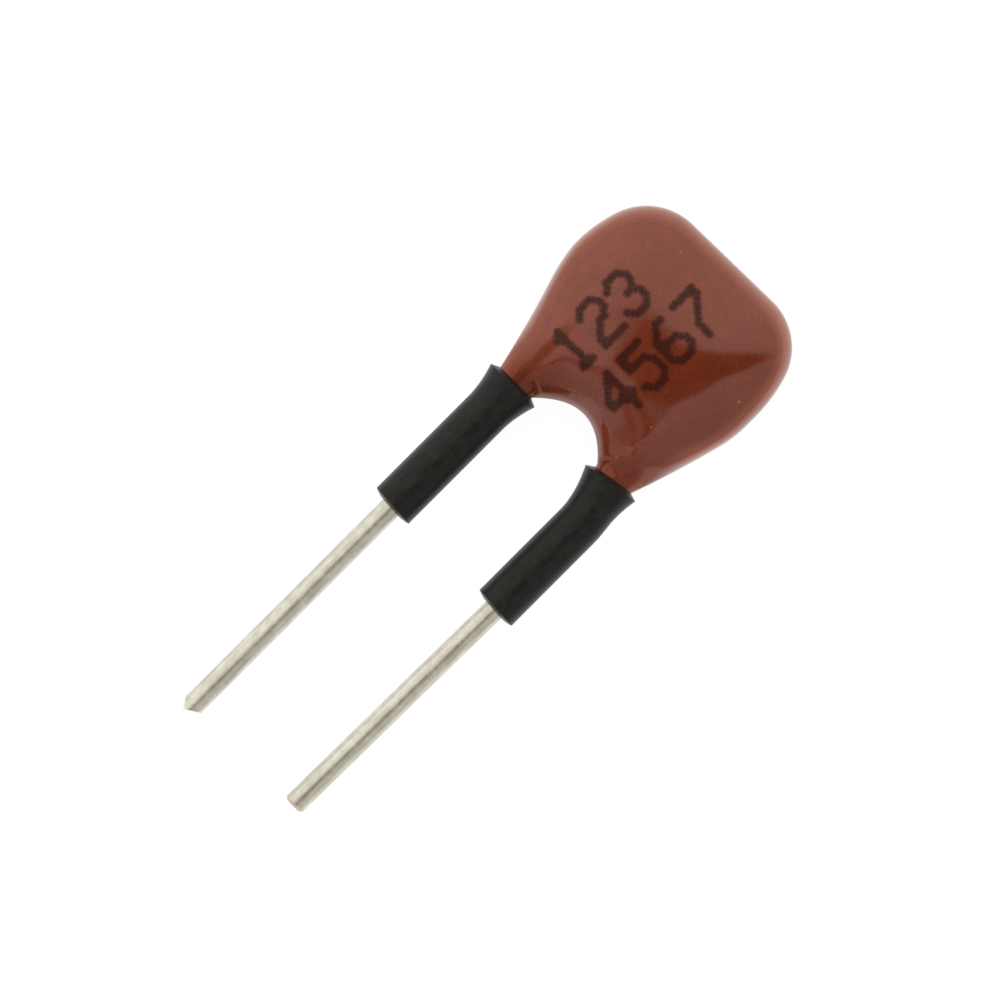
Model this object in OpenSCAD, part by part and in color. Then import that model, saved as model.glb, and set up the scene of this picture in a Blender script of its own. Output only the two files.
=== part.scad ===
// Plug-in film resistor: a dipped, glossy coated body on two stiff round leads.
// It lies on its back: leads along -Y, width along X, thickness along Z, in mm.
// Working frame of the modules: y = 0 is the open end of the sleeves, z = 0 is the plane
// of the lead axes, x = 0 is the middle of the body. placed() moves it to the part's frame.

/* [Leads] */
// Distance between the lead axes where they leave the sleeves
lead_pitch = 5.08; // [4.95:0.01:5.4]
// Distance between the lead axes inside the body
inner_pitch = 4.8; // [4.6:0.01:4.85]
// Diameter of the lead wire
lead_d = 0.8; // [0.6:0.01:0.9]
// Bare length of the left lead below its sleeve
pin_left_len = 10.06; // [6:0.01:14]
// Bare length of the right lead below its sleeve
pin_right_len = 9.77; // [6:0.01:14]
// Length of lead that is soldered to the plate
soldered_len = 2.8; // [1.5:0.1:3.6]
// Inward lean of the right pin, in degrees
toe_in = 0.7; // [0.2:0.1:2]
// Bend radius of the right lead inside the body
upper_bend_r = 1.5; // [1:0.1:2]
// Bend radius of the right lead inside the sleeve
lower_bend_r = 4; // [2.5:0.1:6]
// Sideways set of the left lead inside the end of its sleeve, in degrees
set_angle = 0.7; // [0.5:0.1:1.5]
// Bend radius of the slight bends at the end of both sleeves
slight_bend_r = 20; // [15:1:25]
// Length of the round pin that the end of a sleeve still covers
pin_cover = 0.1; // [0.05:0.01:0.15]
// Place of the snipped edge across the left lead, as a share of its diameter
nip_place = 0.31; // [0.2:0.01:0.5]
// Slope of the steep side of the snipped end, in degrees
nip_steep = 57; // [40:1:65]
// Slope of the shallow side of the snipped end, in degrees
nip_shallow = 31; // [20:1:40]
// Edge break at the square end of the right lead
tip_break = 0.1; // [0.02:0.01:0.2]

/* [Sleeves] */
// Length of a sleeve, from its open rim to its cut end
sleeve_len = 6.1; // [4.5:0.05:8]
// Outer diameter of a sleeve
sleeve_d = 1.69; // [1.6:0.01:2]
// Wall of a sleeve
sleeve_wall = 0.31; // [0.2:0.01:0.34]
// Outer diameter of a sleeve at its flared rim
rim_d = 2.17; // [2.13:0.01:2.25]
// Length of the flare
flare_len = 1.3; // [0.9:0.05:1.6]
// Height of the sloping end face at the rim
lip_h = 0.15; // [0.05:0.01:0.2]
// Radius of the domed cut at the lower end
cut_r = 2.6; // [1.8:0.1:6]
// Sideways shift of the domed cut, which sets it askew
cut_shift = 0.15; // [0:0.01:0.3]
// Clearance between a flared sleeve and the coated leg inside it
sleeve_fit = 0.01; // [0.005:0.005:0.03]

/* [Coating] */
// Greatest width of the body
body_w = 8.79; // [8.2:0.01:9.4]
// Height of the body above the rims of the sleeves
body_h = 8.53; // [8.3:0.01:9.2]
// Distance from the top edge down to the widest place
widest_drop = 3.33; // [2.9:0.01:3.6]
// Radius of the long curve at each side
side_r = 5.8; // [5:0.1:6.5]
// Radius of the upper corners
corner_r = 2.3; // [1.8:0.05:2.5]
// Slope of the top edge, which sinks to the left
top_tilt = 0.018; // [0.005:0.001:0.03]
// Greatest sideways sway of the legs and the lower body, to the right
leg_sway = 0.085; // [0.02:0.005:0.12]
// Height at which the sway has died out
sway_end = 5; // [4:0.1:6]
// Height of the crown of the arch above the rims of the sleeves
arch_h = 1.05; // [0.8:0.01:1.2]
// Height of the crown of the front, above the lead axes
front_h = 1.75; // [1.7:0.01:1.9]
// Width of the flat crown
crown_w = 1; // [0.6:0.05:2]
// Length of the flat crown, along the leads
crown_len = 1.2; // [0.8:0.05:1.6]
// Distance from the top edge down to the crown
crown_drop = 4.1; // [3.6:0.05:4.4]
// Sharpness of the hips between the slopes round the crown
hip = 3; // [2:0.1:5]
// Fullness of the slopes
swell = 2.2; // [2:0.05:2.8]
// Depth of the flat back, below the lead axes
back_h = 1.1; // [0.95:0.01:1.2]
// Width of the flat back
back_w = 5.1; // [4.6:0.05:5.5]
// Rounding of the outer edge, seen from the front
edge_r = 0.5; // [0.35:0.01:0.6]
// Half thickness at the outer edge
edge_h = 0.62; // [0.5:0.01:0.75]
// Rounding of the edge of the arch, seen from the front
arch_edge_r = 0.22; // [0.15:0.01:0.3]
// Half thickness at the edge of the arch
arch_edge_h = 0.38; // [0.3:0.01:0.5]
// Length of coating that runs down each lead inside the sleeve
tail_len = 1; // [0.6:0.05:1.2]

/* [Plate] */
// Width of the ceramic plate
plate_w = 5.5; // [5.4:0.01:5.6]
// Height of the ceramic plate
plate_h = 4.2; // [4:0.01:4.4]
// Thickness of the ceramic plate
plate_t = 0.635; // [0.4:0.005:0.7]
// Distance from the top edge of the body down to the plate
plate_drop = 1.65; // [1.5:0.01:1.8]
// Width of each solder pad
pad_w = 1.42; // [1.2:0.01:1.5]
// Bare margin of the plate round the pads
pad_margin = 0.08; // [0.05:0.01:0.12]
// Height of the resistive film
film_h = 3.3; // [2.5:0.1:3.6]
// Thickness of each fired layer
layer_t = 0.02; // [0.015:0.001:0.03]
// Overlap of the glass over the pads and past the film, at each edge
glaze_margin = 0.2; // [0.1:0.01:0.3]
// Width of the laser trim cut
trim_w = 0.06; // [0.03:0.01:0.1]
// Length of the trim cut across the film
trim_across = 1.4; // [0.6:0.1:2]
// Length of the trim cut along the film
trim_along = 1.1; // [0.4:0.1:1.6]
// Solder between a lead and its pad
solder_t = 0.03; // [0.02:0.005:0.06]
// Spread of the solder over the pad, on the inner side of the lead
solder_spread = 0.25; // [0.1:0.01:0.28]

/* [Hidden] */
$fn = 64;
LEFT = -1;
RIGHT = 1;
// Overlap of cutting tools past the faces that they cut
cut = 0.5;

// Leads
lead_r = lead_d / 2;
lead_x = inner_pitch / 2;
set_out = lead_pitch - inner_pitch;
// The right lead is straight through the lip and the flare of its sleeve
lean_len = lip_h + flare_len + 0.05;
bend_sum = upper_bend_r + lower_bend_r;
// Angle whose two bends and straight length shift the lead by set_out
half_lean = (sqrt(lean_len ^ 2 + set_out * (2 * bend_sum - set_out)) - lean_len) / (2 * bend_sum - set_out);
lean = 2 * atan(half_lean);
lean_dir = [sin(lean), -cos(lean)];
pin_dir = [-sin(toe_in), -cos(toe_in)];
// Stations of the right lead, from the body down to the pin. The pin toes in from the sleeve's end
lean_start = [lead_x + upper_bend_r * (1 - cos(lean)), lip_h];
bend_start = [lead_x, lip_h + upper_bend_r * sin(lean)];
lean_end = lean_start + lean_len * lean_dir;
lower_centre = lean_end - lower_bend_r * [cos(lean), sin(lean)];
tube_start = lower_centre + [lower_bend_r, 0];
lower_arc_len = lower_bend_r * lean * PI / 180;
sleeve_tube_len = sleeve_len + lip_h - lean_len - lower_arc_len;
tube_end = tube_start - [0, sleeve_tube_len];
toe_start = tube_end + [0, pin_cover + slight_bend_r * sin(toe_in)];
pin_start = toe_start - slight_bend_r * [1 - cos(toe_in), sin(toe_in)];
// Stations of the left lead in its sleeve: out, a short lean, and back to the pin
set_dir = [-sin(set_angle), -cos(set_angle)];
set_lean = 0.1;
set_shift = 2 * slight_bend_r * (1 - cos(set_angle)) + set_lean * sin(set_angle);
set_drop = 2 * slight_bend_r * sin(set_angle) + set_lean * cos(set_angle);
left_pin_start = [-lead_x - set_shift, -sleeve_len + pin_cover];
set_start = left_pin_start + [set_shift, set_drop];
set_out_end = set_start - slight_bend_r * [1 - cos(set_angle), sin(set_angle)];
// A bend is drawn a hair thinner than the rods that run into it by this overlap
bend_relief = 0.005;
bend_lap = 0.02;

// Sleeves
sleeve_r = sleeve_d / 2;
bore_r = sleeve_r - sleeve_wall;
rim_r = rim_d / 2;
rim_bore_r = rim_r - sleeve_wall;
leg_r = rim_bore_r - sleeve_fit;
flare_steps = 10;

// Coating outline, right half
plate_top = body_h - plate_drop;
plate_bottom = plate_top - plate_h;
widest_y = body_h - widest_drop;
side_c = [body_w / 2 - side_r, widest_y];
corner_c = [side_c.x + sqrt((side_r - corner_r) ^ 2 - (body_h - corner_r - widest_y) ^ 2), body_h - corner_r];
leg_out = [lead_x + leg_r, lip_h];
to_side = side_c - leg_out;
// Angle of the straight flank from the Y axis, as a tangent from the leg to the side curve
flank = asin(side_r / norm(to_side)) - atan2(-to_side.x, to_side.y);
corner_from = atan2(corner_c.y - side_c.y, corner_c.x - side_c.x);
flank_len = sqrt(norm(to_side) ^ 2 - side_r ^ 2);
side_len = side_r * (corner_from + flank) * PI / 180;
corner_len = corner_r * (90 - corner_from) * PI / 180;
outline_len = flank_len + side_len + corner_len + corner_c.x;

// Arch between the legs: a parabola from leg to leg
arch_x = lead_x - leg_r;
arch_k = (arch_h - lip_h) / arch_x ^ 2;

// Flat places that the faces rise to: half width, lower end and upper end
crown_top = body_h - crown_drop;
front_flat = [crown_w / 2, crown_top - crown_len, crown_top];
back_flat = [back_w / 2, plate_bottom + 0.3, plate_top - 0.1];

// Mesh of the coating
half_sections = 30;
edge_steps = 4;
mid_steps = 14;
side_steps = 2 * edge_steps + mid_steps;
tail_steps = 5;
// Distance along the flank over which the round leg turns into the flat body
leg_blend = 2.2;
// Distance over which the thin edge of the arch thickens
arch_fade = 1.6;
// Width and length of the crest that the lead raises in each leg
crest_w = 0.7;
crest_drop = 2.8;
// Softness of the ridge where the rise from the arch meets the rise from the outline
room_soft = 0.6;

// Layers on the back face of the plate
pad_face_z = lead_r + solder_t;
plate_z = pad_face_z + layer_t;
pad_edge = plate_w / 2 - pad_margin;
pad_x = pad_edge - pad_w;
pad_h = plate_h - 2 * pad_margin;
film_y = plate_bottom + plate_h / 2;
solder_y = plate_bottom + pad_margin;

// Part frame
rest_h = max(rim_r, back_h);
tip_left_y = -sleeve_len - pin_left_len;
mid_y = (body_h + tip_left_y) / 2;

module placed() {
    translate([0, -mid_y, rest_h]) children();
}

// ---- small helpers ----

function mix(a, b, t) = a + (b - a) * t;
function clamp(t) = max(0, min(1, t));
function ease(t) = let (c = clamp(t)) c * c * (3 - 2 * c);
function soft_min(a, b, k) = (a + b - sqrt((a - b) ^ 2 + k ^ 2)) / 2;

// ---- leads ----

// Rod of radius r from a point, along a direction in the XY plane
module rod(from, dir, len, r) {
    translate([from.x, from.y, 0])
        rotate([0, 0, atan2(dir.y, dir.x)])
            rotate([0, 90, 0])
                cylinder(r = r, h = len);
}

// Part of a ring in the XY plane, from one angle to another
module bend(centre, bend_r, from, to, r) {
    translate([centre.x, centre.y, 0])
        rotate([0, 0, from])
            rotate_extrude(angle = to - from)
                translate([bend_r, 0]) circle(r - bend_relief);
}

// The left lead inside the body and down to a height inside its sleeve, as one straight rod
module left_run(r, to_y) {
    rod([-lead_x, solder_y + soldered_len], [0, -1], solder_y + soldered_len - to_y, r);
}

// The right lead inside the body and the lip: straight, a bend, and the lean to its end
module right_run(r) {
    rod([lead_x, solder_y + soldered_len], [0, -1], solder_y + soldered_len - bend_start.y + bend_lap, r);
    bend([lead_x + upper_bend_r, bend_start.y], upper_bend_r, 180, 180 + lean, r);
    rod(lean_start - bend_lap * lean_dir, lean_dir, lean_len + 2 * bend_lap, r);
}

// The bend inside the right sleeve, back to the direction of the body
module sleeve_bend(r) {
    bend(lower_centre, lower_bend_r, 0, lean, r);
}

// Round pin from a point, with a broken edge at its end
module pin(from, dir, len, edge) {
    end = len + bend_lap;
    translate([from.x, from.y, 0] - bend_lap * [dir.x, dir.y, 0])
        rotate([0, 0, atan2(dir.x, -dir.y)])
            rotate([90, 0, 0]) rotate_extrude()
                polygon([[0, 0], [lead_r, 0], [lead_r, end - edge], [lead_r - edge, end], [0, end]]);
}

// One face of the snipped end: removes what lies below a sloping plane through its edge
module nip(slope) {
    translate([left_pin_start.x - lead_r + lead_d * nip_place, tip_left_y, 0])
        rotate([0, 0, slope])
            translate([-2 * lead_d, -2 * lead_d, -lead_d])
                cube([4 * lead_d, 2 * lead_d, 2 * lead_d]);
}

module lead_left() {
    color("gainsboro") placed() {
        left_run(lead_r, set_start.y - bend_lap);
        bend(set_start - [slight_bend_r, 0], slight_bend_r, -set_angle, 0, lead_r);
        rod(set_out_end - bend_lap * set_dir, set_dir, set_lean + 2 * bend_lap, lead_r);
        bend(left_pin_start + [slight_bend_r, 0], slight_bend_r, 180 - set_angle, 180, lead_r);
        difference() {
            rod(left_pin_start + [0, bend_lap], [0, -1], left_pin_start.y + bend_lap - tip_left_y, lead_r);
            nip(-nip_steep);
            nip(nip_shallow);
        }
    }
}

module lead_right() {
    color("gainsboro") placed() {
        right_run(lead_r);
        sleeve_bend(lead_r);
        rod(tube_start + [0, bend_lap], [0, -1], tube_start.y - toe_start.y + 2 * bend_lap, lead_r);
        bend(toe_start - [slight_bend_r, 0], slight_bend_r, -toe_in, 0, lead_r);
        pin(pin_start, pin_dir, pin_right_len + pin_cover, tip_break);
    }
}

// ---- sleeves ----

// Outer radius at distance d below the rim
function flare_r(d) = sleeve_r + (rim_r - sleeve_r) * clamp(1 - d / flare_len) ^ 1.8;

// Half section of the flared end, radius against distance below the rim
flare_d = [for (i = [0 : flare_steps]) flare_len * i / flare_steps];
flared_len = lean_len - lip_h;
flare_outside = [for (d = flare_d) [flare_r(d), -d]];
flare_inside = [for (d = flare_d) [flare_r(d) - sleeve_wall, -d]];

// Flared end of a sleeve, or of its bore, pointing down from the origin
module flared_end(bore) {
    rotate([-90, 0, 0]) rotate_extrude() polygon(bore ?
        concat([[0, lip_h + cut], [rim_bore_r, lip_h + cut], [rim_bore_r, lip_h]], flare_inside,
            [[bore_r, -flared_len - bend_lap], [0, -flared_len - bend_lap]]) :
        concat([[0, lip_h], [rim_bore_r, lip_h]], flare_outside,
            [[sleeve_r, -flared_len - bend_lap], [0, -flared_len - bend_lap]]));
}

// What the domed, askew cut takes off the lower end of a sleeve
module end_cut(end) {
    translate([end.x, end.y, 0]) difference() {
        translate([-rim_d, -cut, -rim_d]) cube([2 * rim_d, 2 * cut, 2 * rim_d]);
        translate([cut_shift, cut_r, 0]) sphere(cut_r, $fn = 96);
    }
}

// The left sleeve filled solid, or its bore
module left_tube(r, bore) {
    translate([-lead_x, 0, 0]) flared_end(bore);
    rod([-lead_x, -flared_len], [0, -1], sleeve_len - flared_len + bend_lap, r);
}

// The right sleeve filled solid, or its bore
module right_tube(r, bore) {
    rim = lean_start + lip_h * lean_dir;
    translate([rim.x, rim.y, 0]) rotate([0, 0, lean]) flared_end(bore);
    sleeve_bend(r);
    rod(tube_start + [0, bend_lap], [0, -1], sleeve_tube_len + 3 * bend_lap, r);
}

module sleeve_left() {
    color("#2d2c29") placed() difference() {
        left_tube(sleeve_r, false);
        left_tube(bore_r, true);
        end_cut([-lead_x, -sleeve_len]);
    }
}

module sleeve_right() {
    color("#2d2c29") placed() difference() {
        right_tube(sleeve_r, false);
        right_tube(bore_r, true);
        end_cut(tube_end);
    }
}

// ---- plate and layers ----

module ceramic_plate() {
    color("white") placed() plate_box();
}

module plate_box() {
    translate([-plate_w / 2, plate_bottom, plate_z]) cube([plate_w, plate_h, plate_t]);
}

module pad_box(side) {
    translate([side > 0 ? pad_x : -pad_x - pad_w, plate_bottom + pad_margin, pad_face_z])
        cube([pad_w, pad_h, layer_t]);
}

module pad_left() {
    color("silver") placed() pad_box(LEFT);
}

module pad_right() {
    color("silver") placed() pad_box(RIGHT);
}

module film_box() {
    translate([-pad_x, film_y - film_h / 2, pad_face_z]) cube([2 * pad_x, film_h, layer_t]);
}

module glaze_box() {
    translate([-pad_x - glaze_margin, film_y - film_h / 2 - glaze_margin, pad_face_z - layer_t])
        cube([2 * (pad_x + glaze_margin), film_h + 2 * glaze_margin, layer_t]);
}

// Laser trim: across the film from its lower edge, then along it
module trim_cut() {
    start = film_y - film_h / 2 - 2 * glaze_margin;
    depth = trim_across + 2 * glaze_margin;
    translate([-pad_x / 2, start, pad_face_z - cut]) cube([trim_w, depth, 2 * cut]);
    translate([-pad_x / 2, start + depth - trim_w, pad_face_z - cut]) cube([trim_along, trim_w, 2 * cut]);
}

module resistive_film() {
    color("#202020") placed() difference() {
        film_box();
        trim_cut();
    }
}

module overglaze() {
    color("#3f6b4a") placed() difference() {
        glaze_box();
        trim_cut();
    }
}

// Solder on the inner side of the lead, from the pad in a concave fillet, and up to the pad's outer edge
solder_fillet = [for (a = [0 : 15 : 90]) [-lead_r - solder_spread * (1 - cos(a)), pad_face_z * sin(a)]];

module solder_bar(side) {
    mirror([side > 0 ? 0 : 1, 0, 0]) translate([lead_x, solder_y + soldered_len, 0])
        rotate([90, 0, 0]) linear_extrude(soldered_len) difference() {
            polygon(concat([[pad_edge - lead_x, pad_face_z], [pad_edge - lead_x, 0]], solder_fillet));
            circle(lead_r);
        }
}

module solder_left() {
    color("darkgray") placed() solder_bar(LEFT);
}

module solder_right() {
    color("darkgray") placed() solder_bar(RIGHT);
}

// ---- coating ----

// Point and outward normal of the outline, at distance s from the leg to the middle of the top
function outline(s) =
    s < flank_len ? [leg_out + s * [sin(flank), cos(flank)], [cos(flank), -sin(flank)]] :
    s < flank_len + side_len ?
        let (a = -flank + (s - flank_len) / side_r * 180 / PI, n = [cos(a), sin(a)])
            [side_c + side_r * n, n] :
    s < flank_len + side_len + corner_len ?
        let (a = corner_from + (s - flank_len - side_len) / corner_r * 180 / PI, n = [cos(a), sin(a)])
            [corner_c + corner_r * n, n] :
    [[outline_len - s, body_h], [0, 1]];

// Point and outward normal of the arch, from the leg (t = 0) to the crown (t = 1)
function arch(t) =
    let (x = arch_x * (1 - t), n = [-2 * arch_k * x, -1])
        [[x, arch_h - arch_k * x ^ 2], n / norm(n)];

// Height of a face over the point p: the rise from the edges to its flat place,
// and near a leg the crest that its lead raises
function face_h(p, in_d, out_d, flat, top) =
    let (across = max(abs(p.x) - flat[0], 0),
         along = max(flat[1] - p.y, p.y - flat[2], 0),
         away = (across ^ hip + along ^ hip) ^ (1 / hip),
         room = max(soft_min(out_d, in_d, room_soft), 0),
         rise = 1 - (1 - room / (room + away + 0.001)) ^ swell,
         low = mix(arch_edge_h, edge_h, ease(in_d / arch_fade)),
         crest = exp(-((abs(p.x) - lead_x) / crest_w) ^ 2) * (1 - ease((p.y - lip_h) / crest_drop)))
    mix(low, top, rise) + (leg_r - low) * crest;

// The sway of the legs and the slope of the top edge, put on a point
function swayed(p) =
    let (share = clamp((p.y - lip_h) / (sway_end - lip_h)))
    p + [leg_sway * 4 * share * (1 - share), top_tilt * (p.x - corner_c.x) * ease((p.y - 4) / 3), 0];

// Share of the way across a body section, and share of the full height, at step i
function body_step(i, len) =
    i <= edge_steps ?
        let (a = 90 * i / edge_steps) [arch_edge_r * (1 - cos(a)) / len, sin(a)] :
    i >= edge_steps + mid_steps ?
        let (a = 90 * (side_steps - i) / edge_steps) [1 - edge_r * (1 - cos(a)) / len, sin(a)] :
    [mix(arch_edge_r / len, 1 - edge_r / len, (i - edge_steps) / mid_steps), 1];

// One point of a section: side = 1 is the front, side = -1 the back
function section_point(a, b, blend, i, side) =
    let (len = norm(b[0] - a[0]),
         turn = 180 * i / side_steps,
         step = body_step(i, len),
         share = mix((1 - cos(turn)) / 2, step[0], blend),
         p = mix(a[0], b[0], share),
         in_d = (a[0] - p) * a[1],
         out_d = (b[0] - p) * b[1],
         flat = side > 0 ? front_flat : back_flat,
         full = face_h(p, in_d, out_d, flat, side > 0 ? front_h : back_h),
         z = mix(leg_r * sin(turn), full * step[1], blend))
    [p.x, p.y, side * z];

// Closed section from the arch over the front to the outline and back underneath
function section(a, b, blend) = concat(
    [for (i = [0 : side_steps]) section_point(a, b, blend, i, 1)],
    [for (i = [side_steps - 1 : -1 : 1]) section_point(a, b, blend, i, -1)]);

// Half of the body, from the leg to the middle of the top
half_body = [for (k = [0 : half_sections])
    let (t = k / half_sections)
    section(arch(t), outline(t * outline_len), ease(t * outline_len / leg_blend))];

// Round section of the tail at distance d below the rim, about an axis from a point
function tail_section(top, dir, d) =
    let (c = top + (lip_h + d) * dir,
         r = flare_r(max(d, 0)) - sleeve_wall - sleeve_fit,
         across = [-dir.y, dir.x])
    [for (j = [0 : 2 * side_steps - 1])
        let (turn = 180 * j / side_steps, p = c - r * cos(turn) * across) [p.x, p.y, r * sin(turn)]];

tail_d = [for (k = [tail_steps : -1 : 0]) tail_len * k / tail_steps];
right_tail = [for (d = tail_d) tail_section(lean_start, lean_dir, d)];
left_tail = [for (d = tail_d) tail_section([lead_x, lip_h], [0, -1], d)];

function mirrored(sections) = [for (s = sections) [for (p = s) [-p.x, p.y, p.z]]];
function reversed(list) = [for (i = [len(list) - 1 : -1 : 0]) list[i]];

// All sections in a row: up the left leg, over the top and down the right leg
sections = concat(
    mirrored(concat(left_tail, half_body)),
    reversed(concat(right_tail, [for (k = [0 : half_sections - 1]) half_body[k]])));

module coat_solid() {
    n = 2 * side_steps;
    last = len(sections) - 1;
    polyhedron(
        points = [for (s = sections) for (p = s) swayed(p)],
        faces = concat(
            [[for (j = [n - 1 : -1 : 0]) j]],
            [[for (j = [0 : n - 1]) last * n + j]],
            [for (k = [0 : last - 1]) for (j = [0 : n - 1])
                let (a = k * n + j, b = k * n + (j + 1) % n, c = a + n, d = b + n)
                each [[a, b, c], [b, d, c]]]));
}

// What the coating is moulded round
module core() {
    plate_box();
    pad_box(LEFT);
    pad_box(RIGHT);
    film_box();
    glaze_box();
    solder_bar(LEFT);
    solder_bar(RIGHT);
    left_run(lead_r, -tail_len - cut);
    right_run(lead_r);
}

module coating() {
    color("#8a4238") placed() difference() {
        coat_solid();
        core();
    }
}

coating();
ceramic_plate();
pad_left();
pad_right();
resistive_film();
overglaze();
solder_left();
solder_right();
lead_left();
lead_right();
sleeve_left();
sleeve_right();
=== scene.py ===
"""Dressed model of a plug-in film resistor: a dipped body, two tinned leads and two black sleeves.

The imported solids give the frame. The coating is rebuilt here with a smooth, finer surface, the
rest keeps its solid and gets a finish, and a marking is laid on the body. Lengths of the part
are in millimetres in the classes and in metres in the meshes.
"""

import logging
import math
import random
from dataclasses import dataclass, field
from enum import Enum
from typing import Any, Callable, Sequence

import bpy
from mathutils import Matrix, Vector
from mathutils.bvhtree import BVHTree


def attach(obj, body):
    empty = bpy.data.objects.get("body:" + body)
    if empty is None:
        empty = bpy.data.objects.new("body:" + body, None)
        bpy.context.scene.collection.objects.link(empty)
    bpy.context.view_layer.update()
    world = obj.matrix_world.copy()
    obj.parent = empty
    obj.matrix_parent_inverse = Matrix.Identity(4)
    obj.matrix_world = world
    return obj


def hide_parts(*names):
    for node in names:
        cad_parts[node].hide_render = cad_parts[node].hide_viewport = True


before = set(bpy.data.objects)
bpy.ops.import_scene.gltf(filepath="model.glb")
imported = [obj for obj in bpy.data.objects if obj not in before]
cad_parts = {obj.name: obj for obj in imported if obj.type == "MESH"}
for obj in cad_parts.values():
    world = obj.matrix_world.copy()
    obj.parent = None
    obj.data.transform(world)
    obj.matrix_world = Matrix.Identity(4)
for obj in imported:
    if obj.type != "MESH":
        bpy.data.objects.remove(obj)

LOG = logging.getLogger("resistor")
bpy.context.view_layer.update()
MM = 0.001
MM_PER_METRE = 1000.0
REST_Y = 3.815
REST_Z = 1.1

Colour = tuple[float, float, float]
Point = tuple[float, float, float]
Flat = tuple[float, float]
Span = tuple[float, float]

TINY = 0.001
GLOSS_ROUGHNESS = 0.035
GLOSS_IOR = 1.52
WHITE: Colour = (1.0, 1.0, 1.0)


class Face(Enum):
    """The two faces of the body; the value is the sign of their height."""

    FRONT = 1
    BACK = -1


def mix(low: float, high: float, share: float) -> float:
    """Return the value at a share of the way from low to high."""
    return low + (high - low) * share


def clamp(value: float) -> float:
    """Return the value held between 0 and 1."""
    return max(0.0, min(1.0, value))


def ease(value: float) -> float:
    """Return a smooth step from 0 to 1."""
    held = clamp(value)
    return held * held * (3.0 - 2.0 * held)


def soft_min(first: float, second: float, softness: float) -> float:
    """Return the smaller of two values, rounded where they meet."""
    return (first + second - math.sqrt((first - second) ** 2 + softness**2)) / 2.0


def to_part(point: Point) -> Point:
    """Return a point of the working frame, in mm, in the part's frame in metres."""
    return (point[0] * MM, (point[1] + REST_Y) * MM, (point[2] + REST_Z) * MM)


def on_circle(centre: Flat, radius: float, turn: float) -> tuple[Flat, Flat]:
    """Return a circle's point at an angle, and the outward normal there."""
    normal = (math.cos(turn), math.sin(turn))
    return (centre[0] + radius * normal[0], centre[1] + radius * normal[1]), normal


@dataclass(frozen=True)
class Value:
    """A number on a node socket, with Python's operators for its Math nodes."""

    graph: "Graph"
    socket: bpy.types.NodeSocket

    def _math(self, operation: str, *others: "Value | float", held: bool = False) -> "Value":
        """Add a Math node on this value and others.

        Args:
            operation: The Math node's operation.
            others: The values of its further inputs.
            held: Whether the result is held between 0 and 1.

        Returns:
            The node's result.
        """
        settings = {"operation": operation, "use_clamp": held}
        inputs = {0: self, **{place + 1: other for place, other in enumerate(others)}}
        return self.graph.value(self.graph.node("ShaderNodeMath", settings, inputs))

    def __add__(self, other: "Value | float") -> "Value":
        """Return the sum."""
        return self._math("ADD", other)

    __radd__ = __add__

    def __sub__(self, other: "Value | float") -> "Value":
        """Return the difference."""
        return self._math("SUBTRACT", other)

    def __rsub__(self, other: float) -> "Value":
        """Return a number less this value."""
        return self._math("MULTIPLY_ADD", -1.0, other)

    def __mul__(self, other: "Value | float") -> "Value":
        """Return the product."""
        return self._math("MULTIPLY", other)

    __rmul__ = __mul__

    def __truediv__(self, other: "Value | float") -> "Value":
        """Return the quotient."""
        return self._math("DIVIDE", other)

    def __pow__(self, exponent: float) -> "Value":
        """Return the power."""
        return self._math("POWER", exponent)

    def __abs__(self) -> "Value":
        """Return the absolute value."""
        return self._math("ABSOLUTE")

    def step(self, low: float, high: float) -> "Value":
        """Return a smooth step from 0 at low to 1 at high.

        Args:
            low: The value at which the step starts.
            high: The value at which it ends.

        Returns:
            The step, from 0 to 1.
        """
        settings = {"interpolation_type": "SMOOTHSTEP"}
        inputs = {"Value": self, "From Min": low, "From Max": high}
        return self.graph.value(self.graph.node("ShaderNodeMapRange", settings, inputs))

    def held(self) -> "Value":
        """Return the value held between 0 and 1."""
        return self._math("ADD", 0.0, held=True)

    def larger(self, other: "Value | float") -> "Value":
        """Return the larger of the two values."""
        return self._math("MAXIMUM", other)


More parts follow.
